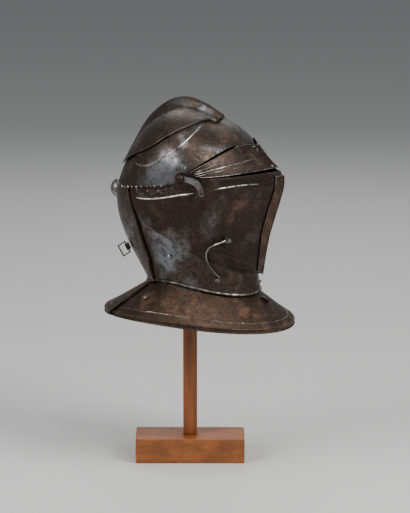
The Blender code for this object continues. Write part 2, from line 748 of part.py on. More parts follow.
def hook_frame():
    """The hook's eye on the peg, the seat of its stud, and its plane's outward, up and rearward axes."""
    seat, normal, _ = SKULL.frame(*HOOK_AT, -LAYER - TUCK)
    peg, out, _ = VENTAIL.frame(*PEG_AT, STUD_SEAT)
    eye = peg + out * PEG_EYE * MM
    normal = (normal * (1 - HOOK_LEAN) + out * HOOK_LEAN).normalized()
    up = eye - seat
    up = (up - normal * up.dot(normal)).normalized()
    return eye, seat, normal, up, normal.cross(up)


def make_hook(group, cutters, steel):
    """Wire hook hung from the ventail's peg, whose lower end curls round the bevor's stud."""
    eye, seat, normal, up, rear = hook_frame()
    _, straight, _ = SKULL.frame(*HOOK_AT, -LAYER - TUCK)
    turned("hook_stud", [(0.0, 7.8), (1.8, 7.4), (3.4, 6.2), (3.4, 5.4), (1.6, 4.8), (1.6, 0.0), (0.0, 0.0)],
           seat + straight * STUD_SEAT * MM, straight, group, steel, sides=12)
    peg, out, _ = VENTAIL.frame(*PEG_AT, STUD_SEAT)
    turned("ventail_peg", [(0.0, 11.0), (1.8, 10.6), (3.0, 9.4), (3.0, 8.4), (1.6, 7.2), (1.6, 0.0),
                           (0.0, 0.0)], peg, out, group, steel, sides=12)
    reach = (eye - seat).dot(up) / MM
    route = [seat + (rear * across + up * along * reach + normal * high) * MM
             for across, along, high in HOOK_ROUTE]
    hook = rod("closing_hook", smooth_route(route, 24), HOOK_WIRE, group, steel)
    outer, inner, thick = HOOK_EYE
    ring = cylinder("closing_hook_eye", outer, thick, eye, normal, cutters, sides=20)
    bore = cylinder("closing_hook_bore", inner, thick * 3, eye, normal, cutters, sides=16)
    join_or_cut(hook, ring, "UNION")
    join_or_cut(hook, bore, "DIFFERENCE")


def rod(name, points, radius, group, finish, closed=False):
    """A round wire along a list of points."""
    curve = bpy.data.curves.new(name, "CURVE")
    curve.dimensions = "3D"
    curve.bevel_depth = radius * MM
    curve.bevel_resolution = 1
    curve.use_fill_caps = not closed
    line = curve.splines.new("POLY")
    line.points.add(len(points) - 1)
    for point, place in zip(line.points, points):
        point.co = (*place, 1)
    line.use_cyclic_u = closed
    return solid_from_curve(name, curve, group, finish)


def smooth_route(points, count):
    """Points along a smooth curve through a route."""
    rows = [(float(i), *point) for i, point in enumerate(points)]
    return [Vector([smooth_value(rows, c, at) for c in (1, 2, 3)])
            for at in spread(0.0, len(points) - 1.0, count)]


def buckle_axes():
    """The buckle's seat on the nape, its bar's middle, and the directions along the bar, down and out."""
    seat, normal, down = SKULL.frame(*BUCKLE_AT, 0.0)
    return seat, seat + normal * BUCKLE_STAND * MM, normal.cross(down).normalized(), down, normal


def make_buckle(group, cutters, steel):
    """Strap buckle on the nape: a riveted tab whose eye holds the frame's bar, with the frame hanging."""
    seat, bar, across, down, normal = buckle_axes()
    turn = Matrix((across, down, normal)).transposed().to_4x4()

    def boxed(name, size, centre, where, finish=None):
        shape = bmesh.new()
        bmesh.ops.create_cube(shape, size=1.0)
        bmesh.ops.scale(shape, vec=Vector(size) * MM, verts=shape.verts)
        bmesh.ops.translate(shape, vec=Vector(centre) * MM, verts=shape.verts)
        mesh = bpy.data.meshes.new(name)
        bmesh.ops.transform(shape, matrix=Matrix.Translation(seat) @ turn, verts=shape.verts)
        shape.to_mesh(mesh)
        shape.free()
        return add_object(name, mesh, where, finish)

    tab = boxed("buckle_tab", (9.0, 12.0, 1.4), (0.0, -5.0, BUCKLE_SEAT + 0.7), group, steel)
    stem = boxed("buckle_stem", (9.0, 4.4, BUCKLE_STAND + 2.4 - BUCKLE_SEAT),
                 (0.0, 0.0, (BUCKLE_STAND + 2.4 + BUCKLE_SEAT) / 2), cutters)
    bore = cylinder("buckle_bore", 1.5, 20.0, bar, across, cutters, sides=16)
    join_or_cut(tab, stem, "UNION")
    join_or_cut(tab, bore, "DIFFERENCE")
    fall = Vector((0, 0, -1))
    hang = (fall - across * fall.dot(across)).normalized()
    wide, drop = BUCKLE_LOOP
    corners = [bar + (across * side + hang * low) * MM
               for side, low in ((-wide / 2, 0.0), (wide / 2, 0.0), (wide / 2, drop), (-wide / 2, drop))]
    rod("buckle_frame", corners, 1.2, group, steel, closed=True)


def make_collar_catch(group, steel):
    """Small bent tongue that stands up from the front of the collar."""
    centre, normal = collar_seat(0.0, 0.30, 0.0, -1)
    ahead = (collar_point(0.0, 0.5, 0.0) - collar_point(0.0, 0.3, 0.0)).normalized()
    shape = bmesh.new()
    outline = [(-6.0, 0.0), (6.0, 0.0), (6.0, 3.6), (2.0, 3.6), (-6.0, 1.2)]
    for wide in (-3.5, 3.5):
        ring = [shape.verts.new(centre + (ahead * a + normal * b) * MM + Vector((wide, 0, 0)) * MM)
                for a, b in outline]
        shape.faces.new(ring if wide > 0 else ring[::-1])
    low, high = list(shape.verts)[:5], list(shape.verts)[5:]
    for i in range(5):
        k = (i + 1) % 5
        shape.faces.new((low[i], low[k], high[k], high[i]))
    bmesh.ops.recalc_face_normals(shape, faces=shape.faces)
    mesh = bpy.data.meshes.new("collar_catch")
    shape.to_mesh(mesh)
    shape.free()
    add_object("collar_catch", mesh, group, steel)


# ---------------------------------------------------------------- stand
def block(name, size, bottom, group, finish):
    """A plain block standing at a height, turned as the stand is."""
    shape = bmesh.new()
    bmesh.ops.create_cube(shape, size=1.0)
    bmesh.ops.scale(shape, vec=Vector(size) * MM, verts=shape.verts)
    bmesh.ops.translate(shape, vec=(0, 0, (bottom + size[2] / 2) * MM), verts=shape.verts)
    mesh = bpy.data.meshes.new(name)
    shape.to_mesh(mesh)
    shape.free()
    item = add_object(name, mesh, group, finish)
    item.rotation_euler = (0, 0, math.radians(STAND_TURN))
    round_edges(item, STAND_EDGE)


def make_stand(group, wood):
    block("stand_base", (BASE_LONG, BASE_DEEP, BASE_HEIGHT), 0.0, group, wood)
    foot = BASE_HEIGHT + GAP
    block("stand_post", (POST_SIDE, POST_SIDE, POST_TOP - foot), foot, group, wood)


def round_edges(item, width, segments=2):
    bevel = item.modifiers.new("Bevel", "BEVEL")
    bevel.width = width * MM
    bevel.segments = segments
    bevel.limit_method = "ANGLE"
    bevel.angle_limit = math.radians(40)


# ---------------------------------------------------------------- joints
def set_pivots(group):
    """Hang each moving body's pieces on an empty that stands on its joint's axis."""
    temple = Vector((0, -PIVOT_FORWARD, PIVOT_UP)) * MM
    pairs = [f"{name}_{word}" for name in ("cheek_rivet", "collar_eyelet", "collar_rivet")
             for word in ("right", "left")]
    bodies = (
        # pivot, what carries it, place, pieces
        ("bevor_pivot", None, temple, ["bevor", "front_collar", "hook_stud", "collar_catch", "chin_stud"] + pairs),
        ("ventail_pivot", "bevor_pivot", temple, ["ventail", "keel_strip", "ventail_peg"]),
        ("visor_pivot", None, temple, ["visor", "visor_lever", "temple_stud_right", "temple_stud_left",
                                       "visor_rivet_right", "visor_rivet_left"]),
        ("hook_pivot", "ventail_pivot", hook_frame()[0], ["closing_hook"]),
        ("buckle_pivot", None, buckle_axes()[1], ["buckle_frame"]),
    )
    for name, carrier, place, pieces in bodies:
        pivot = bpy.data.objects.new(name, None)
        group.objects.link(pivot)
        pivot.location = place
        if carrier:
            hang(pivot, bpy.data.objects[carrier], temple)
        for piece in pieces:
            hang(bpy.data.objects[piece], pivot, place)


def hang(item, pivot, place):
    """Parent an item to a pivot without moving it."""
    item.parent = pivot
    item.matrix_parent_inverse = Matrix.Translation(-place)


# ---------------------------------------------------------------- build
def main():
    clear_scene()
    group = new_collection("armet")
    cutters = new_collection("cutters")
    steel = material("dark_steel", (0.16, 0.12, 0.10), 0.42, 0.9)
    wood = material("stand_wood", (0.55, 0.27, 0.11), 0.5, 0.0)
    make_stand(group, wood)
    make_skull_crown(group, steel)
    make_skull_side(group, cutters, steel)
    make_nape_plate(group, steel)
    make_visor(group, cutters, steel)
    make_ventail(group, cutters, steel)
    make_keel_strip(group, steel)
    make_bevor(group, cutters, steel)
    make_collar(group, steel)
    make_temple_studs(group, steel)
    make_visor_lever(group, steel)
    make_studs(group, steel)
    make_collar_rivets(group, steel)
    make_collar_catch(group, steel)
    make_hook(group, cutters, steel)
    make_buckle(group, cutters, steel)
    set_pivots(group)


main()
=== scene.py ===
# %% [markdown]
# # An armet on its wooden stand
#
# This lesson dresses a imported CAD model of a close helmet. The plates, studs and
# joints already have their places, so every piece made here takes its place from the
# frame. What the lesson adds is what an armourer and four centuries add: the raised
# lines, the roped edges, the brown skin of the steel and its worn edges. It also paints
# highlights into the colour: bright spots of polished looking steel where light falls
# full on the plates, and brighter raised lines.

# %% Load the frame
import math
import random

import bpy
from mathutils import Matrix, Vector


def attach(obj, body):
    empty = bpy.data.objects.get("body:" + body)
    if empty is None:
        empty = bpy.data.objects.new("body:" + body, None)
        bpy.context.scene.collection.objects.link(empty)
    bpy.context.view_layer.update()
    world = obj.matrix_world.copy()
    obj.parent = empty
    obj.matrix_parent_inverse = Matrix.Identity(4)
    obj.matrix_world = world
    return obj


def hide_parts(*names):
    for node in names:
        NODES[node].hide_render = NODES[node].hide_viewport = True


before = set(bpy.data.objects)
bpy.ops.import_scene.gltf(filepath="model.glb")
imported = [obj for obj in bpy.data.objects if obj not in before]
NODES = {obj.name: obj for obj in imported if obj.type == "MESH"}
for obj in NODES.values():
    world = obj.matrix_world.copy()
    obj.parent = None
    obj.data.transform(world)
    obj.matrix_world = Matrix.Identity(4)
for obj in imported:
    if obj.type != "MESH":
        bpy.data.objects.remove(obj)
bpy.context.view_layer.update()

# %% [markdown]
# ## The camera
#
# The helmet is seen from its right side, a little from above. A long lens far away
# keeps the plates free of distortion, as when armour is recorded for a catalogue. The
# camera looks at a point low on the face so that the whole stand is in view.

# %% Place the camera
VIEW_TURN = math.radians(-72)
VIEW_LIFT = math.radians(12)
VIEW_RANGE = 3.5
VIEW_HEIGHT = 0.708
SENSOR = 36.0
LOOK_OUT = 0.0207
LOOK_UP = 0.2876


def outward(turn, lift):
    """The unit vector from the object towards an eye at that turn and lift."""
    flat = math.cos(lift)
    return Vector((math.sin(turn) * flat, -math.cos(turn) * flat, math.sin(lift)))


look_at = Vector((math.cos(VIEW_TURN) * LOOK_OUT, math.sin(VIEW_TURN) * LOOK_OUT, LOOK_UP))
lens = bpy.data.cameras.new("catalogue_camera")
lens.sensor_fit = "VERTICAL"
lens.sensor_height = SENSOR
lens.lens = SENSOR * VIEW_RANGE / VIEW_HEIGHT
camera = bpy.data.objects.new("catalogue_camera", lens)
bpy.context.scene.collection.objects.link(camera)
camera.location = look_at + outward(VIEW_TURN, VIEW_LIFT) * VIEW_RANGE
camera.rotation_euler = (camera.location - look_at).to_track_quat("Z", "Y").to_euler()
bpy.context.scene.camera = camera
print("lens:", round(lens.lens, 1), "mm")

# %% [markdown]
# ## Floor and light
#
# Polished steel shows what is around it. Two wide soft panels, one at each side of the
# helmet, draw long highlights on the ridges, and the dim world keeps the brown plates
# dark between them. The floor is plain and pale.

# %% Lay the floor
FLOOR_HALF = 40.0
FLOOR_TONE = (0.55, 0.55, 0.54, 1)
FLOOR_ROUGH = 0.9


def deselect():
    """Leaves nothing selected, so the next operator acts on its own piece only."""
    if bpy.context.mode != "OBJECT":
        bpy.ops.object.mode_set(mode="OBJECT")
    bpy.ops.object.select_all(action="DESELECT")


deselect()
bpy.ops.mesh.primitive_plane_add(size=2 * FLOOR_HALF, location=(0, 0, 0))
floor = bpy.context.object
floor.name = "floor"

floor_paint = bpy.data.materials.new("pale_floor")
floor_paint.use_nodes = True
floor_shader = floor_paint.node_tree.nodes["Principled BSDF"]
floor_shader.inputs["Base Color"].default_value = FLOOR_TONE
floor_shader.inputs["Roughness"].default_value = FLOOR_ROUGH
floor.data.materials.append(floor_paint)
print("floor:", 2 * FLOOR_HALF, "m across")

# %% Hang the lights
LIGHTS_AIM = Vector((0, 0, 0.35))
WORLD_TONE = (0.62, 0.64, 0.66, 1)
WORLD_STRENGTH = 0.35
LIGHTS = (
    # name, turn, lift, range, width, watts
    ("panel_front", -18, 38, 1.9, 0.9, 42),
    ("panel_rear", -128, 30, 1.9, 0.9, 26),
    ("panel_top", -75, 74, 2.0, 1.1, 16),
    ("panel_far", 105, 35, 2.2, 1.2, 14),
)


def hang_light(name, turn, lift, reach, width, watts):
    """One soft square panel that faces the helmet."""
    data = bpy.data.lights.new(name, "AREA")
    data.shape = "SQUARE"
    data.size = width
    data.energy = watts
    panel = bpy.data.objects.new(name, data)
    bpy.context.scene.collection.objects.link(panel)
    panel.location = LIGHTS_AIM + outward(math.radians(turn), math.radians(lift)) * reach
    panel.rotation_euler = (panel.location - LIGHTS_AIM).to_track_quat("Z", "Y").to_euler()
    return panel


panels = [hang_light(*row) for row in LIGHTS]
world = bpy.data.worlds.new("studio")
world.use_nodes = True
backdrop = world.node_tree.nodes["Background"]
backdrop.inputs["Color"].default_value = WORLD_TONE
backdrop.inputs["Strength"].default_value = WORLD_STRENGTH
bpy.context.scene.world = world
print("lights:", [p.name for p in panels])

# %% [markdown]
# ## The skin of the steel
#
# Old armour is not one colour. The steel was once blued or bright, then four hundred
# years of oil and handling turned it brown, rust bit into it here and there, and
# cleaning polished some patches back to blue grey. Noise at four sizes makes this: hand
# sized patches, coin sized blooms, a fine mottle and pits. All of it is one node group,
# so the large plates and the small fittings share it, each with its own values.
# Where light falls full on the plates, a painted highlight is mixed in as the same blue grey polish.

# %% A short way to wire nodes
SOCKETS = {"value": "NodeSocketFloat", "colour": "NodeSocketColor"}


def new_group(name, takes, gives):
    """An empty shader group with named inputs and outputs."""
    tree = bpy.data.node_groups.new(name, "ShaderNodeTree")
    for label, kind, start in takes:
        socket = tree.interface.new_socket(name=label, in_out="INPUT", socket_type=SOCKETS[kind])
        socket.default_value = start
    for label, kind in gives:
        tree.interface.new_socket(name=label, in_out="OUTPUT", socket_type=SOCKETS[kind])
    return tree, tree.nodes.new("NodeGroupInput"), tree.nodes.new("NodeGroupOutput")


def node(tree, kind, settings=None, **inputs):
    """Adds a node. An input is a plain value or another node's output socket."""
    made = tree.nodes.new("ShaderNode" + kind)
    for key, value in (settings or {}).items():
        setattr(made, key, value)
    for key, value in inputs.items():
        socket = made.inputs[int(key[1:])] if key[0] == "_" else made.inputs[key]
        if isinstance(value, bpy.types.NodeSocket):
            tree.links.new(value, socket)
        else:
            socket.default_value = value
    return made


def noise(tree, place, size, detail=3.0, rough=0.55, twist=0.0):
    """Noise whose blobs are about size metres across."""
    return node(tree, "TexNoise", Vector=place, Scale=1 / size, Detail=detail, Roughness=rough,
                Distortion=twist).outputs["Fac"]


def between(tree, value, low, high, start=0.0, stop=1.0):
    """A smooth step: start below low, stop above high."""
    made = node(tree, "MapRange", {"interpolation_type": "SMOOTHSTEP"},
                _0=value, _1=low, _2=high, _3=start, _4=stop)
    return made.outputs[0]


def sums(tree, how, first, second):
    """One math node."""
    return node(tree, "Math", {"operation": how}, _0=first, _1=second).outputs[0]


def mixed(tree, share, first, second, how="MIX"):
    """One colour over another by share."""
    made = node(tree, "Mix", {"data_type": "RGBA", "blend_type": how},
                _0=share, _6=first, _7=second)
    return made.outputs[2]


def moved(tree, place, step):
    """The same place seen from elsewhere, so that two noises do not repeat each other."""
    away = (step, step * 1.7, step * 0.6)
    return node(tree, "VectorMath", {"operation": "ADD"}, _0=place, _1=away).outputs[0]


print("helpers: new_group, node, noise, between, sums, mixed, moved")


# %% Build the steel group
PATCH, BLOOM, MOTTLE, GRAIN, PIT = 0.060, 0.024, 0.0075, 0.0024, 0.0011
# Pale bare steel for worn edges, and for the painted highlight on the raised lines.
BARE_STEEL_AND_SHEEN = (0.62, 0.59, 0.55, 1)

forged, given, gives = new_group(
    "forged_skin",
    [("Patina", "colour", (0.1, 0.07, 0.05, 1)), ("Steel", "colour", (0.3, 0.31, 0.33, 1)),
     ("Rust", "colour", (0.2, 0.09, 0.05, 1)), ("Grime", "colour", (0.02, 0.015, 0.012, 1)),
     ("Polish_and_highlight", "value", 0.5), ("Rusting", "value", 0.5), ("Wear_and_sheen", "value", 0.0), ("Shift", "value", 0.0)],
    [("Color", "colour"), ("Roughness", "value"), ("Metallic", "value"), ("Height", "value")])
t = forged
here = moved(t, node(t, "TexCoord").outputs["Object"], 0.0)
here = node(t, "VectorMath", {"operation": "ADD"}, _0=here, _1=given.outputs["Shift"]).outputs[0]
patch = noise(t, here, PATCH, 3, 0.6, 0.8)
bloom = noise(t, moved(t, here, 0.31), BLOOM, 5, 0.62, 0.5)
mottle = noise(t, moved(t, here, 0.77), MOTTLE, 5, 0.65)
grain = noise(t, moved(t, here, 1.3), GRAIN, 3, 0.6)
pits = noise(t, moved(t, here, 2.1), PIT, 2, 0.5)

spread_of_steel = sums(t, "ADD", sums(t, "MULTIPLY", patch, 0.62), sums(t, "MULTIPLY", bloom, 0.38))
# Painted highlight spots, shown as polish, join the random bare patches here.
polished_and_highlit = sums(t, "MULTIPLY", given.outputs["Polish_and_highlight"], 0.24)
steel_and_highlight_mask = between(t, sums(t, "ADD", spread_of_steel, polished_and_highlit), 0.62, 0.84)
rusted = sums(t, "MULTIPLY", given.outputs["Rusting"], 0.16)
rust_mask = between(t, sums(t, "ADD", bloom, rusted), 0.58, 0.84)
rust_mask = sums(t, "MULTIPLY", rust_mask, between(t, patch, 0.62, 0.40))
grime_mask = between(t, mottle, 0.54, 0.34)
uneven = sums(t, "MULTIPLY", sums(t, "SUBTRACT", mottle, 0.5), 0.9)
# Worn edges, and the painted highlight on the raised lines, turn pale.
bright = between(t, sums(t, "ADD", given.outputs["Wear_and_sheen"], uneven), 0.45, 0.85)

skin = mixed(t, steel_and_highlight_mask, given.outputs["Patina"], given.outputs["Steel"])
skin = mixed(t, rust_mask, skin, given.outputs["Rust"])
skin = mixed(t, sums(t, "MULTIPLY", grime_mask, 0.78), skin, given.outputs["Grime"])
skin = mixed(t, between(t, grain, 0.55, 0.74, 0.0, 0.55), skin, given.outputs["Steel"])
skin = mixed(t, between(t, pits, 0.38, 0.26, 0.0, 0.6), skin, given.outputs["Grime"])
skin = mixed(t, bright, skin, BARE_STEEL_AND_SHEEN)
t.links.new(skin, gives.inputs["Color"])

dull = between(t, mottle, 0.35, 0.7, 0.50, 0.36)
dull = sums(t, "ADD", dull, sums(t, "MULTIPLY", rust_mask, 0.14))
dull = sums(t, "SUBTRACT", dull, sums(t, "MULTIPLY", steel_and_highlight_mask, 0.08))
dull = sums(t, "SUBTRACT", dull, sums(t, "MULTIPLY", bright, 0.12))
t.links.new(dull, gives.inputs["Roughness"])
metal = sums(t, "SUBTRACT", 0.94, sums(t, "MULTIPLY", rust_mask, 0.5))
metal = sums(t, "SUBTRACT", metal, sums(t, "MULTIPLY", grime_mask, 0.25))
t.links.new(metal, gives.inputs["Metallic"])
hammered = sums(t, "MULTIPLY", patch, 0.55)
relief = sums(t, "ADD", hammered, sums(t, "MULTIPLY", bloom, 0.16))
relief = sums(t, "ADD", relief, sums(t, "MULTIPLY", mottle, 0.080))
relief = sums(t, "ADD", relief, sums(t, "MULTIPLY", grain, 0.030))
relief = sums(t, "ADD", relief, between(t, pits, 0.30, 0.42, -0.02, 0.0))
t.links.new(relief, gives.inputs["Height"])
print("forged_skin:", len(t.nodes), "nodes")

# %% Mix the steels
STEELS = {
    # name: patina, steel, rust, grime, polish and painted highlight, rusting, shift, bump in metres
    "brown_plate": ((0.060, 0.042, 0.031), (0.17, 0.175, 0.19), (0.105, 0.050, 0.026), (0.010, 0.007, 0.006),
                    0.45, 0.45, 0.0, 0.0013),
    "ruddy_plate": ((0.068, 0.041, 0.027), (0.15, 0.135, 0.125), (0.125, 0.055, 0.026), (0.012, 0.008, 0.006),
                    0.25, 0.80, 0.4, 0.0013),
    "dark_plate": ((0.038, 0.025, 0.019), (0.115, 0.10, 0.098), (0.085, 0.038, 0.021), (0.007, 0.005, 0.004),
                   0.30, 0.40, 0.9, 0.0013),
    "handled_steel": ((0.13, 0.11, 0.095), (0.32, 0.32, 0.33), (0.14, 0.08, 0.05), (0.02, 0.016, 0.013),
                      0.85, 0.2, 1.7, 0.0004),
    # bright_line is paler than the plates: rubbed steel and a painted highlight for the light the raised
    # lines catch.
    "bright_line": ((0.085, 0.068, 0.055), (0.36, 0.34, 0.32), (0.12, 0.065, 0.036), (0.02, 0.015, 0.012),
                    0.62, 0.25, 2.6, 0.0004),
}


def steel(name, patina, pale, rust, grime, polish_and_highlight, rusting, shift, depth):
    """One finish: the shared skin with its own colours."""
    finish = bpy.data.materials.new(name)
    finish.use_nodes = True
    tree = finish.node_tree
    shader = tree.nodes["Principled BSDF"]
    skin = tree.nodes.new("ShaderNodeGroup")
    skin.node_tree = forged
    colours = {"Patina": patina, "Steel": pale, "Rust": rust, "Grime": grime}
    for label, colour in colours.items():
        skin.inputs[label].default_value = (*colour, 1)
    skin.inputs["Shift"].default_value = shift
    wear = node(tree, "Attribute", {"attribute_name": "wear"})
    tree.links.new(wear.outputs["Fac"], skin.inputs["Wear_and_sheen"])
    for label, value in {"Polish_and_highlight": polish_and_highlight, "Rusting": rusting}.items():
        painted = node(tree, "Attribute", {"attribute_name": label.lower()})
        tree.links.new(sums(tree, "ADD", painted.outputs["Fac"], value), skin.inputs[label])
    bump = node(tree, "Bump", Strength=1.0, Distance=depth, Height=skin.outputs["Height"])
    for label in ("Roughness", "Metallic"):
        tree.links.new(skin.outputs[label], shader.inputs[label])
    tree.links.new(skin.outputs["Color"], shader.inputs["Base Color"])
    tree.links.new(bump.outputs["Normal"], shader.inputs["Normal"])
    return finish


FINISH = {name: steel(name, *row) for name, row in STEELS.items()}
print("finishes:", list(FINISH))

# %% [markdown]
# ## From facets to hammered plates
#
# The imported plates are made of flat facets, which show as soon as light runs over them.
# A copy of each plate is welded, turned back into four sided faces and subdivided, so the
# bowl is round again. Edges that must stay crisp are creased first, and a narrow bevel
# gives every rim the small round that catches a line of light.

# %% Work on one piece at a time
def select_only(piece):
    """Makes piece the one selected and active object."""
    deselect()
    piece.select_set(True)
    bpy.context.view_layer.objects.active = piece


def apply_all(piece):
    """Applies every modifier of piece in order."""
    select_only(piece)
    for name in [m.name for m in piece.modifiers]:
        bpy.ops.object.modifier_apply(modifier=name)


print("helpers: select_only, apply_all")

# %% Mark where the steel is worn or rusted, and where highlights are painted as polish
WEAR_BLUR = 0.6
WEAR_SOFT = 1
WEAR_ANGLE = math.radians(180)


def mark_wear(piece):
    """Paints how far each point stands out, so that edges and ridges can shine."""
    select_only(piece)
    paint = piece.data.color_attributes.new("wear", "FLOAT_COLOR", "POINT")
    piece.data.color_attributes.active_color = paint
    bpy.ops.paint.vertex_color_dirt(blur_strength=WEAR_BLUR, blur_iterations=WEAR_SOFT,
                                    clean_angle=WEAR_ANGLE, dirt_angle=0.0, normalize=False)


PAINTED_HIGHLIGHT_SPOTS = (
    # distance to the side, y, z, radius, strength: painted highlights, where light falls full on the plates,
    # shown as polished blue grey steel
    (0.098, 0.002, 0.424, 0.050, 0.85),
    (0.098, 0.030, 0.350, 0.022, 0.7),
    (0.096, 0.004, 0.331, 0.022, 0.7),
    (0.088, -0.022, 0.318, 0.022, 0.6),
    (0.080, 0.012, 0.318, 0.050, 1.0),
    (0.072, 0.030, 0.290, 0.034, 0.6),
    (0.006, -0.030, 0.490, 0.024, 0.5),
    (0.084, -0.058, 0.350, 0.030, 0.3),
)
RUSTED = (
    (0.050, -0.062, 0.456, 0.050, 1.0),
    (0.060, -0.010, 0.478, 0.040, 0.7),
    (0.086, 0.040, 0.345, 0.030, 0.9),
    (0.045, -0.105, 0.380, 0.030, 0.6),
    (0.040, -0.085, 0.300, 0.034, 1.1),
    (0.060, -0.080, 0.372, 0.050, 0.9),
)


def paint_spots(piece, name, spots):
    """Writes how strongly each point lies in the given spots, the same on both sides."""
    values = []
    for vertex in piece.data.vertices:
        x, y, z = abs(vertex.co.x), vertex.co.y, vertex.co.z
        total = 0.0
        for side, front, height, radius, strength in spots:
            far = math.dist((x, y, z), (side, front, height)) / radius
            if far < 1:
                total += strength * (1 - far * far) ** 2
        values.append(total)
    piece.data.attributes.new(name, "FLOAT", "POINT").data.foreach_set("value", values)


print("spots:", len(PAINTED_HIGHLIGHT_SPOTS), "polished,", len(RUSTED), "rusted")

# %% Make a smooth copy of a node
CREASE_FROM = math.radians(24)
RIM_ROUND = 0.00045
RIM_FROM = math.radians(50)
RIM_STEPS = 2
WELD = 0.00002
FLATTEST = math.radians(60)
SQUAREST = math.radians(70)
SMOOTH_TO = math.radians(32)
cores = {}


def smooth_copy(node_name, name, levels, crease=CREASE_FROM, rim=RIM_ROUND):
    """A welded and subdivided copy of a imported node, in its place."""
    piece = bpy.data.objects.new(name, NODES[node_name].data.copy())
    bpy.context.scene.collection.objects.link(piece)
    select_only(piece)
    bpy.ops.mesh.customdata_custom_splitnormals_clear()
    bpy.ops.object.mode_set(mode="EDIT")
    bpy.ops.mesh.select_all(action="SELECT")
    bpy.ops.mesh.remove_doubles(threshold=WELD)
    bpy.ops.mesh.tris_convert_to_quads(face_threshold=FLATTEST, shape_threshold=SQUAREST)
    bpy.ops.mesh.select_all(action="DESELECT")
    bpy.ops.mesh.select_mode(type="EDGE")
    bpy.ops.mesh.edges_select_sharp(sharpness=crease)
    bpy.ops.transform.edge_crease(value=1.0)
    bpy.ops.object.mode_set(mode="OBJECT")
    round_off = piece.modifiers.new("round", "SUBSURF")
    round_off.levels = round_off.render_levels = levels
    apply_all(piece)
    cores[name] = piece.data.copy()
    if rim:
        soften = piece.modifiers.new("rim", "BEVEL")
        soften.width, soften.segments = rim, RIM_STEPS
        soften.limit_method, soften.angle_limit = "ANGLE", RIM_FROM
    apply_all(piece)
    bpy.ops.object.shade_smooth_by_angle(angle=SMOOTH_TO)
    mark_wear(piece)
    # Painted highlights, shown as polished steel, and spots of rust.
    paint_spots(piece, "polish_and_highlight", PAINTED_HIGHLIGHT_SPOTS)
    paint_spots(piece, "rusting", RUSTED)
    return piece


def finish_as(piece, finish, body):
    """Gives piece its finish and its body."""
    piece.data.materials.clear()
    piece.data.materials.append(FINISH[finish])
    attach(piece, body)
    return piece


print("helpers: smooth_copy, finish_as")

# %% Smooth the plates
PLATE_LEVELS = 2
PLATES = (
    # node, piece, body, finish
    ("skull_crown", "crown_plate", "root", "brown_plate"),
    ("skull_side", "skull_bowl", "root", "brown_plate"),
    ("nape_plate", "nape_guard", "root", "brown_plate"),
    ("rear_collar", "rear_collar_lame", "root", "ruddy_plate"),
    ("visor", "visor_shell", "visor", "dark_plate"),
    ("ventail", "ventail_shell", "ventail", "dark_plate"),
    ("keel_strip", "keel_band", "ventail", "ruddy_plate"),
    ("bevor", "bevor_shell", "bevor", "brown_plate"),
    ("front_collar", "front_collar_lame", "bevor", "ruddy_plate"),
)
plates = {}
for node_name, name, body, finish in PLATES:
    plate = smooth_copy(node_name, name, PLATE_LEVELS)
    plates[name] = finish_as(plate, finish, body)
    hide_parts(node_name)
    print(name, len(plate.data.polygons), "faces")

# %% [markdown]
# ## Raised lines
#
# The armourer stiffened the plates with thin raised lines: a leaf shaped one over each
# temple, ridges that fan out from the pivots, and a bead round each rim. Hands and
# cleaning cloths reach these first, and their colour is painted brighter still, a painted
# highlight for the light they catch, so they are the brightest thing on the helmet. Two
# helpers make them all. One follows a row of points laid on a plate. The other picks the
# sharp rim edges of a plate, turns them into a curve and gives that curve a round
# section, which is how a rolled edge is made from a wire.

# %% Draw a bead along a line
MM = 0.001
STEP = 0.0016
ROUND_SIDES = 3
TUBE_SMOOTH = math.radians(50)
THIN_END = 0.25


def through(points, step=STEP):
    """Points a step apart along a smooth line through the given ones."""
    p = [2 * points[0] - points[1], *points, 2 * points[-1] - points[-2]]
    line = []
    for a, b, c, d in zip(p, p[1:], p[2:], p[3:]):
        count = max(1, round((c - b).length / step))
        for k in range(count):
            s = k / count
            line.append(0.5 * (2 * b + (c - a) * s + (2 * a - 5 * b + 4 * c - d) * s * s
                               + (3 * b - a - 3 * c + d) * s * s * s))
    return line + [points[-1]]


def as_mesh(piece):
    """Turns a curve into a mesh with smooth sides."""
    select_only(piece)
    bpy.ops.object.convert(target="MESH")
    bpy.ops.object.shade_smooth_by_angle(angle=TUBE_SMOOTH)
    return bpy.context.object


def tube(name, lines, radius, taper):
    """One round rod for each line of points, thinner towards its ends."""
    data = bpy.data.curves.new(name, "CURVE")
    data.dimensions = "3D"
    data.bevel_depth = radius
    data.bevel_resolution = ROUND_SIDES
    data.use_fill_caps = True
    for line in lines:
        spline = data.splines.new("POLY")
        spline.points.add(len(line) - 1)
        for k, (point, place) in enumerate(zip(spline.points, line)):
            point.co = (*place, 1)
            room = min(k, len(line) - 1 - k) * STEP
            point.radius = min(1.0, THIN_END + (1 - THIN_END) * room / taper) if taper else 1.0
    rod = bpy.data.objects.new(name, data)
    bpy.context.scene.collection.objects.link(rod)
    return as_mesh(rod)


def on_plate(plate, place, sink):
    """The nearest point of the plate, pushed along its normal by -sink."""
    _, spot, normal, _ = plate.closest_point_on_mesh(place)
    return spot - normal * sink


def shine(piece, amount):
    """Paints a whole piece brighter by that much: rubbed wear and a painted highlight."""
    values = [amount] * len(piece.data.vertices)
    piece.data.attributes.new("wear", "FLOAT", "POINT").data.foreach_set("value", values)
    return piece


def bead(name, plate_name, body, rows, radius, sink, taper, rubbed_and_sheen, finish="bright_line"):
    """A raised line on both sides of a plate. Rows are millimetres on the right side."""
    plate = plates[plate_name]
    lines = []
    for side in (1, -1):
        line = through([Vector((side * x, y, z)) * MM for x, y, z in rows])
        lines.append([on_plate(plate, place, sink) for place in line])
    rod = shine(tube(name, lines, radius, taper), rubbed_and_sheen)
    return finish_as(rod, finish, body)


print("helpers: through, tube, bead")

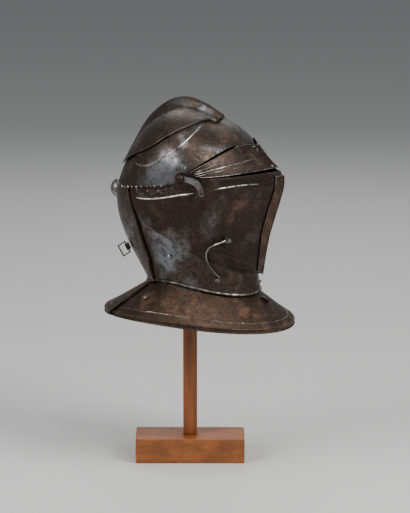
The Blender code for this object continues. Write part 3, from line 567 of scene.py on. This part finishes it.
# %% Lay beads on the plates
LEAF = ((-67.5, 57.1, 428.0), (-78.3, 46.2, 426.3), (-84.5, 35.5, 427.2), (-88.9, 26.8, 429.7),
        (-93.0, 14.0, 437.2), (-94.7, 2.1, 444.2), (-92.5, -9.8, 451.9), (-86.4, -17.6, 458.8),
        (-77.7, -23.2, 465.1), (-65.8, -27.7, 471.6),
        (-55.3, -30.6, 475.6), (-37.9, -29.8, 481.7))
FAN_RIDGE = ((-101.5, -39.4, 419.9), (-97.9, -46.6, 422.4), (-90.0, -58.0, 425.8), (-79.8, -68.7, 428.3),
             (-67.2, -78.7, 430.4), (-51.9, -87.9, 431.8), (-34.3, -96.5, 433.5), (-18.9, -103.1, 434.0))
FAN_HIGH = ((-99.9, -41.7, 423.8), (-90.6, -55.4, 429.8), (-74.8, -69.9, 435.3), (-50.0, -84.5, 439.5),
            (-19.5, -97.6, 440.7))
FAN_LOW = ((-98.2, -46.7, 420.5), (-87.2, -62.7, 423.5), (-69.3, -79.3, 425.5), (-43.1, -96.4, 426.3),
           (-12.9, -112.6, 426.0))
BROW_BAR = ((-15.5, -93.0, 448.4), (-10.5, -94.8, 448.2), (-5.5, -96.7, 447.7))
BROW_DROP = ((-6.4, -97.2, 447.0), (-8.6, -98.8, 443.4), (-11.2, -100.5, 440.2))
STREAK_HIGH = ((-101.6, -38.6, 423.0), (-98.6, -44.2, 425.6), (-94.6, -49.9, 428.0))
STREAK_MIDDLE = ((-101.9, -39.0, 421.0), (-99.0, -45.0, 422.9), (-95.0, -51.2, 424.8))
STREAK_LOW = ((-101.2, -41.0, 418.8), (-98.0, -47.4, 420.0), (-94.0, -53.4, 421.4))
CHEEK_RIDGE = ((-95.2, -56.9, 400.1), (-88.9, -66.0, 401.0), (-81.5, -74.9, 401.9), (-72.8, -83.3, 402.6),
               (-62.4, -91.2, 403.0), (-50.8, -98.9, 402.6), (-38.8, -106.4, 401.6), (-26.6, -114.0, 400.3))
EAR_RIDGE = ((-90.2, 49.3, 383.7), (-93.5, 36.8, 383.5), (-96.4, 24.4, 384.2), (-99.1, 12.1, 386.1),
             (-101.4, 0.0, 388.6), (-103.0, -11.8, 391.2), (-104.0, -23.4, 393.8), (-103.2, -34.3, 395.7),
             (-100.8, -41.9, 397.0))

BEADS = (
    # piece, plate, body, rows, radius, sink, taper, how bright it is rubbed and painted as highlight
    ("leaf_line", "skull_bowl", "root", LEAF, 0.0016, 0.0006, 0.018, 0.62),
    ("fan_ridge", "visor_shell", "visor", FAN_RIDGE, 0.0010, 0.0003, 0.030, 0.55),
    ("fan_high_line", "visor_shell", "visor", FAN_HIGH, 0.0005, 0.0002, 0.020, 0.30),
    ("fan_low_line", "visor_shell", "visor", FAN_LOW, 0.0005, 0.0002, 0.020, 0.30),
    # The brow bar and drop redraw a bright T of reflected light at the brow; they and the streaks carry a
    # strong painted highlight as well as wear.
    ("brow_bar", "visor_shell", "visor", BROW_BAR, 0.0009, 0.0003, 0.004, 0.7),
    ("brow_drop", "visor_shell", "visor", BROW_DROP, 0.0008, 0.0003, 0.006, 0.6),
    ("streak_high", "visor_shell", "visor", STREAK_HIGH, 0.0007, 0.0002, 0.010, 0.8),
    ("streak_middle", "visor_shell", "visor", STREAK_MIDDLE, 0.0008, 0.0002, 0.010, 0.8),
    ("streak_low", "visor_shell", "visor", STREAK_LOW, 0.0007, 0.0002, 0.010, 0.7),
    ("cheek_ridge", "ventail_shell", "ventail", CHEEK_RIDGE, 0.0012, 0.0006, 0.024, 0.62),
    ("ear_ridge", "ventail_shell", "ventail", EAR_RIDGE, 0.0014, 0.0006, 0.012, 0.72),
)
for row in BEADS:
    made = bead(*row)
    print(row[0], len(made.data.polygons), "faces")

# %% Turn a rim into a wire
SHARP_RIM = math.radians(42)


def rim_wire(name, plate_name, wanted):
    """The sharp edges of a plate that the test wants, as a curve."""
    wire = bpy.data.objects.new(name, cores[plate_name].copy())
    bpy.context.scene.collection.objects.link(wire)
    select_only(wire)
    bpy.ops.object.mode_set(mode="EDIT")
    bpy.ops.mesh.select_mode(type="EDGE")
    bpy.ops.mesh.select_all(action="DESELECT")
    bpy.ops.mesh.edges_select_sharp(sharpness=SHARP_RIM)
    bpy.ops.object.mode_set(mode="OBJECT")
    mesh = wire.data
    good = [wanted(v.co, v.normal) for v in mesh.vertices]
    picked = [e.index for e in mesh.edges
              if e.select and good[e.vertices[0]] and good[e.vertices[1]]]
    for part in (mesh.polygons, mesh.edges, mesh.vertices):
        part.foreach_set("select", [False] * len(part))
    for index in picked:
        mesh.edges[index].select = True
    bpy.ops.object.mode_set(mode="EDIT")
    bpy.ops.mesh.select_all(action="INVERT")
    bpy.ops.mesh.delete(type="EDGE")
    bpy.ops.mesh.select_all(action="SELECT")
    bpy.ops.mesh.delete_loose(use_verts=True, use_edges=False, use_faces=False)
    bpy.ops.object.mode_set(mode="OBJECT")
    bpy.ops.object.convert(target="CURVE")
    return bpy.context.object


def rim_bead(name, plate_name, body, radius, finish, rubbed_and_sheen, wanted):
    """A round bead along the wanted rim of a plate."""
    wire = rim_wire(name, plate_name, wanted)
    wire.data.bevel_depth = radius
    wire.data.bevel_resolution = ROUND_SIDES
    wire.data.use_fill_caps = True
    piece = finish_as(shine(as_mesh(wire), rubbed_and_sheen), finish, body)
    print(name, len(piece.data.polygons), "faces")
    return piece


print("helpers: rim_wire, rim_bead")

# %% Roll the rims
BOWL_MIDDLE = 0.005
LOOKS_OUT = 0.004


def outer(place, normal):
    """True where a rim's normal looks away from the post."""
    return normal.x * place.x + normal.y * (place.y - BOWL_MIDDLE) > LOOKS_OUT


HOOK_SWEEP = -0.042
VENTAIL_HEM = ((0.045, 0.362), (0.0388, 0.3559), (0.0248, 0.3429), (0.0124, 0.3281),
               (-0.0034, 0.3210), (-0.021, 0.3165), (-0.0357, 0.3086), (-0.052, 0.2990), (-0.070, 0.2900))




def near_hem(place, room=0.007):
    """True close to the slanting lower edge of the ventail, short of where the hook swings."""
    if place.y <= HOOK_SWEEP:
        return False
    for (a, high), (b, low) in zip(VENTAIL_HEM, VENTAIL_HEM[1:]):
        if b <= place.y <= a:
            return abs(place.z - high - (low - high) * (a - place.y) / (a - b)) < room
    return False


RIMS = (
    # piece, plate, body, radius, finish, rubbed wear and painted highlight, test
    ("crown_rim", "crown_plate", "root", 0.0006, "bright_line", 0.35,
     lambda p, n: outer(p, n) and p.z < 0.489),
    ("sight_rim", "visor_shell", "visor", 0.0005, "bright_line", 0.35,
     lambda p, n: outer(p, n) and p.z > 0.419 and p.y < -0.033),
    ("visor_hem", "visor_shell", "visor", 0.0006, "bright_line", 0.5,
     lambda p, n: outer(p, n) and 0.408 < p.z < 0.4215 and p.y < -0.045),
    ("ventail_hem", "ventail_shell", "ventail", 0.0005, "bright_line", 0.2,
     lambda p, n: outer(p, n) and near_hem(p)),
    ("front_collar_roll", "front_collar_lame", "bevor", 0.0013, "ruddy_plate", 0.3,
     lambda p, n: p.z < 0.232 and outer(p, n)),
    ("rear_collar_roll", "rear_collar_lame", "root", 0.0013, "ruddy_plate", 0.3,
     lambda p, n: p.z < 0.232 and outer(p, n)),
    ("neck_roll", "bevor_shell", "bevor", 0.0019, "bright_line", 0.5,
     lambda p, n: p.z < 0.274 and outer(p, n)),
    ("nape_roll", "nape_guard", "root", 0.0017, "bright_line", 0.3,
     lambda p, n: p.z < 0.270 and outer(p, n)),
    ("nape_border", "nape_guard", "root", 0.0016, "brown_plate", 0.1,
     lambda p, n: 0.258 < p.z < 0.392 and abs(p.x) > 0.03),
    ("keel_roll", "keel_band", "ventail", 0.0005, "bright_line", 0.3, lambda p, n: outer(p, n)),
)
for row in RIMS:
    rim_bead(*row)

# %% Sink the line that runs round the collar
LINE_INSET = 0.0085
COLLAR_MIDDLE = Vector((0, -0.018, 0))
WEDGE = math.radians(3)
ABOVE_COLLAR = 0.35
NEAREST_REACH = 0.05
COLLAR_TOP = 0.245
LINE_RADIUS = 0.0009
DOWN = Vector((0, 0, -1))


def collar_line(name, plate_name, body, inset, radius):
    """A raised line at an even distance inside the collar's rim."""
    plate = plates[plate_name]
    spokes = {}
    for vertex in plate.data.vertices:
        flat = vertex.co - COLLAR_MIDDLE
        flat.z = 0
        key = round(math.atan2(flat.x, -flat.y) / WEDGE)
        spokes[key] = max(spokes.get(key, 0), flat.length)
    rows, line = [], []
    limit = round(math.pi / WEDGE)
    for key in list(range(-limit, limit)) * (1 if body == "bevor" else 2):
        turn = key * WEDGE
        reach = spokes.get(key, 0) - inset
        start = COLLAR_MIDDLE + Vector((math.sin(turn) * reach, -math.cos(turn) * reach, ABOVE_COLLAR))
        found, spot, normal, _ = plate.ray_cast(start, DOWN)
        if reach > NEAREST_REACH and found and spot.z < COLLAR_TOP:
            line.append(spot - normal * radius * 0.4)
        elif line:
            rows.append(line)
            line = []
    rows = sorted(rows + [line], key=len)[-1:]
    piece = tube(name, [through(row) for row in rows], radius, 0.02)
    print(name, len(rows[0]), "points")
    # The collar line is painted brighter: rubbed wear and a painted highlight.
    return finish_as(shine(piece, 0.45), "bright_line", body)


collar_line("front_collar_line", "front_collar_lame", "bevor", LINE_INSET, LINE_RADIUS)
collar_line("rear_collar_line", "rear_collar_lame", "root", LINE_INSET, LINE_RADIUS)

# %% [markdown]
# ## The roped hem
#
# The lower edge of the skull was rolled over a wire and filed into a rope. Each twist is
# a small slanted grain of steel. One grain is modelled from a sphere, stretched and
# turned along the hem, then copied from twist to twist, and the copies are joined.

# %% Shape one grain and copy it
GRAIN_SIZE = (0.0035, 0.0018, 0.0019)
SORT_FROM = (3.0, 2.0, 1.0)  # off every axis, so no two faces of a grain are equally far from it


def sort_faces():
    """Puts the faces, in edit mode, in the order of their distance from SORT_FROM."""
    cursor = bpy.context.scene.cursor
    before = cursor.location.copy()
    cursor.location = SORT_FROM
    bpy.ops.mesh.sort_elements(type="CURSOR_DISTANCE", elements={"FACE"})
    cursor.location = before


def grain_mesh(name):
    """One long grain of steel, at the origin, along X."""
    deselect()
    bpy.ops.mesh.primitive_uv_sphere_add(segments=8, ring_count=6, radius=1.0)
    grain = bpy.context.object
    grain.name = name
    bpy.ops.object.mode_set(mode="EDIT")
    bpy.ops.transform.resize(value=GRAIN_SIZE)
    # A new sphere's faces come in another order from run to run.
    sort_faces()
    bpy.ops.object.mode_set(mode="OBJECT")
    bpy.ops.object.shade_smooth()
    return grain


def place_along(direction, normal, slant):
    """The turn that lays X along a direction in the surface, slanted within it."""
    side = normal.cross(direction).normalized()
    along = (direction * math.cos(slant) + side * math.sin(slant)).normalized()
    across = normal.cross(along).normalized()
    return Matrix((along, across, normal)).transposed().to_4x4()


def join_all(name, parts):
    """Joins the parts into one piece."""
    deselect()
    for part in parts:
        part.select_set(True)
    bpy.context.view_layer.objects.active = parts[0]
    bpy.ops.object.join()
    parts[0].name = name
    return parts[0]


def copies(grain, spots):
    """A copy of grain at each (place, turn, size)."""
    made = []
    for place, turn, size in spots:
        twin = bpy.data.objects.new(grain.name, grain.data.copy())
        twin.data.transform(Matrix.Translation(place) @ turn @ Matrix.Scale(size, 4))
        bpy.context.scene.collection.objects.link(twin)
        made.append(twin)
    return made


print("helpers: sort_faces, grain_mesh, place_along, copies, join_all")

# %% Twist the hem
TWIST = 0.0054
GRAIN_SLANT = math.radians(38)
HEM_BAND = (0.384, 0.412)
HEM_FRONT = -0.004


def on_hem(place, normal):
    """True on the outer lower edge of the bowl, behind the temple."""
    return outer(place, normal) and HEM_BAND[0] < place.z < HEM_BAND[1] and place.y > HEM_FRONT


hem = rim_wire("hem_path", "skull_bowl", on_hem)
seed = grain_mesh("twist")
twists = []
for spline in hem.data.splines:
    path = [p.co.xyz for p in spline.points]
    if len(path) < 4:
        continue
    run = 0.0
    for a, b in zip(path, path[1:]):
        run += (b - a).length
        if run < TWIST:
            continue
        run = 0.0
        _, spot, normal, _ = plates["skull_bowl"].closest_point_on_mesh(b)
        face = Vector((b.x, b.y - 0.005, 0)).normalized()
        slant = GRAIN_SLANT if (b - a).dot(Vector((0, 1, 0))) * b.x > 0 else -GRAIN_SLANT
        twists.append((b, place_along((b - a).normalized(), face, slant), 1.0))
rope = join_all("roped_hem", copies(seed, twists))
# The rope's twists are painted brighter: rubbed wear and a painted highlight.
finish_as(shine(rope, 0.45), "bright_line", "root")
for helper in (hem, seed):
    bpy.data.objects.remove(helper)
print("roped_hem:", len(twists), "twists")

# %% [markdown]
# ## The punched band
#
# Between the hem and the ridge below it the steel was roughened with a punch. The marks
# are scattered by hand, so a seeded random draw places them, close together and of
# uneven size.

# %% Punch the band
PUNCHED = 150
PUNCH_SIZE = (0.22, 0.46)
BAND = ((0.045, 0.3860, 0.3950), (0.020, 0.3870, 0.3975), (0.0, 0.3915, 0.4010), (-0.014, 0.3950, 0.4040))
draw = random.Random(11)


def band_at(front):
    """The lower and upper height of the band at that y."""
    for (a, low_a, high_a), (b, low_b, high_b) in zip(BAND, BAND[1:]):
        if b <= front <= a:
            s = (a - front) / (a - b)
            return low_a + (low_b - low_a) * s, high_a + (high_b - high_a) * s


seed = grain_mesh("punch_mark")
marks = []
for side in (-1, 1):
    for _ in range(PUNCHED):
        front = draw.uniform(BAND[-1][0], BAND[0][0])
        low, high = band_at(front)
        start = Vector((side * 0.2, front, draw.uniform(low, high)))
        found, spot, normal, _ = plates["ventail_shell"].ray_cast(start, Vector((-side, 0, 0)))
        if found and spot.x * side > 0.06:
            size = draw.uniform(*PUNCH_SIZE)
            direction = normal.cross(Vector((0, 0, 1))).normalized()
            marks.append((spot, place_along(direction, normal, draw.uniform(-1.5, 1.5)), size))
band = join_all("punched_band", copies(seed, marks))
# The punch marks are painted a little brighter: rubbed wear and a painted highlight.
finish_as(shine(band, 0.12), "bright_line", "ventail")
bpy.data.objects.remove(seed)
print("punched_band:", len(marks), "marks")

# %% [markdown]
# ## Studs, rivets, hook and buckle
#
# The small fittings were turned, forged and filed, so they are round and smooth where
# the plates are beaten. Each gets the same treatment as the plates, with a higher crease
# angle that keeps their shoulders crisp, and a steel that fingers have kept brighter.

# %% Smooth the fittings
FITTING_CREASE = math.radians(48)
FITTING_ROUND = 0.00015
FITTING_LEVELS = 2
FITTINGS = {
    # body: nodes
    "root": ("nape_stud", "buckle_tab"),
    "bevor": ("cheek_rivet_right", "cheek_rivet_left", "hook_stud", "collar_catch", "chin_stud",
              "collar_eyelet_right", "collar_eyelet_left", "collar_rivet_right", "collar_rivet_left"),
    "ventail": ("ventail_peg",),
    "visor": ("temple_stud_right", "temple_stud_left", "visor_lever", "visor_rivet_right",
              "visor_rivet_left"),
    "hook": ("closing_hook",),
    "buckle": ("buckle_frame",),
}
DARK_FITTINGS = ("temple_stud_right", "temple_stud_left", "collar_catch", "buckle_frame", "buckle_tab")
for body, names in FITTINGS.items():
    for node_name in names:
        piece = smooth_copy(node_name, node_name + "_piece", FITTING_LEVELS, FITTING_CREASE,
                            FITTING_ROUND)
        finish = "dark_plate" if node_name in DARK_FITTINGS else "handled_steel"
        finish_as(piece, finish, body)
        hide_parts(node_name)
print("fittings:", sum(len(names) for names in FITTINGS.values()))

# %% [markdown]
# ## The oiled wood
#
# The stand is a post let into a plain block, both of a warm brown hardwood with a coat
# of oil. Growth rings seen along the grain are long uneven stripes, so a noise is
# stretched along each part's length. Short dark pores lie in the same direction, and
# the arrises are paler where the oil has rubbed off.

# %% Grow the grain
STRETCH = 0.07
DEEP_PORE = (0.06, 0.022, 0.008, 1)
SUNLIT = (0.36, 0.135, 0.032, 1)
RUBBED_ARRIS = (0.62, 0.33, 0.14, 1)

grained, given, gives = new_group(
    "oiled_grain",
    [("Early", "colour", (0.4, 0.16, 0.05, 1)), ("Late", "colour", (0.2, 0.07, 0.02, 1)),
     ("Wear_and_sheen", "value", 0.0), ("Across", "value", 1.0), ("Along", "value", 0.0)],
    [("Color", "colour"), ("Roughness", "value"), ("Height", "value")])
t = grained
lengths = node(t, "CombineXYZ", X=1.0, Y=given.outputs["Across"], Z=given.outputs["Along"]).outputs[0]
place = node(t, "TexCoord").outputs["Object"]
here = node(t, "VectorMath", {"operation": "MULTIPLY"}, _0=place, _1=lengths).outputs[0]
ring = noise(t, here, 0.0085, 3, 0.5, 0.4)
fibre = noise(t, moved(t, here, 0.4), 0.0019, 4, 0.6)
pore = noise(t, moved(t, here, 0.9), 0.0010, 2, 0.5)
cloud = noise(t, moved(t, node(t, "TexCoord").outputs["Object"], 1.2), 0.05, 3)
wood = mixed(t, between(t, ring, 0.36, 0.66), given.outputs["Early"], given.outputs["Late"])
wood = mixed(t, between(t, fibre, 0.40, 0.70, 0.0, 0.45), wood, given.outputs["Late"])
wood = mixed(t, between(t, pore, 0.64, 0.74, 0.0, 0.6), wood, DEEP_PORE)
wood = mixed(t, between(t, cloud, 0.45, 0.75, 0.0, 0.35), wood, SUNLIT)
wood = mixed(t, between(t, given.outputs["Wear_and_sheen"], 0.53, 0.75, 0.0, 0.55), wood, RUBBED_ARRIS)
t.links.new(wood, gives.inputs["Color"])
t.links.new(between(t, fibre, 0.3, 0.7, 0.40, 0.58), gives.inputs["Roughness"])
relief = sums(t, "SUBTRACT", sums(t, "MULTIPLY", fibre, 0.3), between(t, pore, 0.62, 0.74, 0.0, 0.5))
t.links.new(sums(t, "ADD", relief, sums(t, "MULTIPLY", ring, 0.3)), gives.inputs["Height"])
print("oiled_grain:", len(t.nodes), "nodes")

# %% Oil the stand
STAND_CREASE = math.radians(20)


def oiled(name, early, late, across, along):
    """A wood finish whose grain runs along Y or Z."""
    finish = bpy.data.materials.new(name)
    finish.use_nodes = True
    tree = finish.node_tree
    shader = tree.nodes["Principled BSDF"]
    grain = tree.nodes.new("ShaderNodeGroup")
    grain.node_tree = grained
    grain.inputs["Early"].default_value = (*early, 1)
    grain.inputs["Late"].default_value = (*late, 1)
    grain.inputs["Across"].default_value = across
    grain.inputs["Along"].default_value = along
    wear = node(tree, "Attribute", {"attribute_name": "wear"})
    tree.links.new(wear.outputs["Fac"], grain.inputs["Wear_and_sheen"])
    bump = node(tree, "Bump", Strength=0.6, Distance=0.0006, Height=grain.outputs["Height"])
    tree.links.new(grain.outputs["Color"], shader.inputs["Base Color"])
    tree.links.new(grain.outputs["Roughness"], shader.inputs["Roughness"])
    tree.links.new(bump.outputs["Normal"], shader.inputs["Normal"])
    return finish


FINISH["post_wood"] = oiled("post_wood", (0.265, 0.076, 0.014), (0.140, 0.038, 0.007), 1.0, STRETCH)
FINISH["block_wood"] = oiled("block_wood", (0.285, 0.086, 0.014), (0.165, 0.046, 0.008), STRETCH, 1.0)

STAND = (
    # node, piece, finish, rounding
    ("stand_post", "post", "post_wood", 0.0009),
    ("stand_base", "block", "block_wood", 0.0016),
)
for node_name, name, finish, rounding in STAND:
    piece = smooth_copy(node_name, name, 1, STAND_CREASE, rounding)
    finish_as(piece, finish, "root")
    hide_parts(node_name)
    print(name, len(piece.data.polygons), "faces")

# %% Keep the sizes and close
for core in cores.values():
    bpy.data.meshes.remove(core)
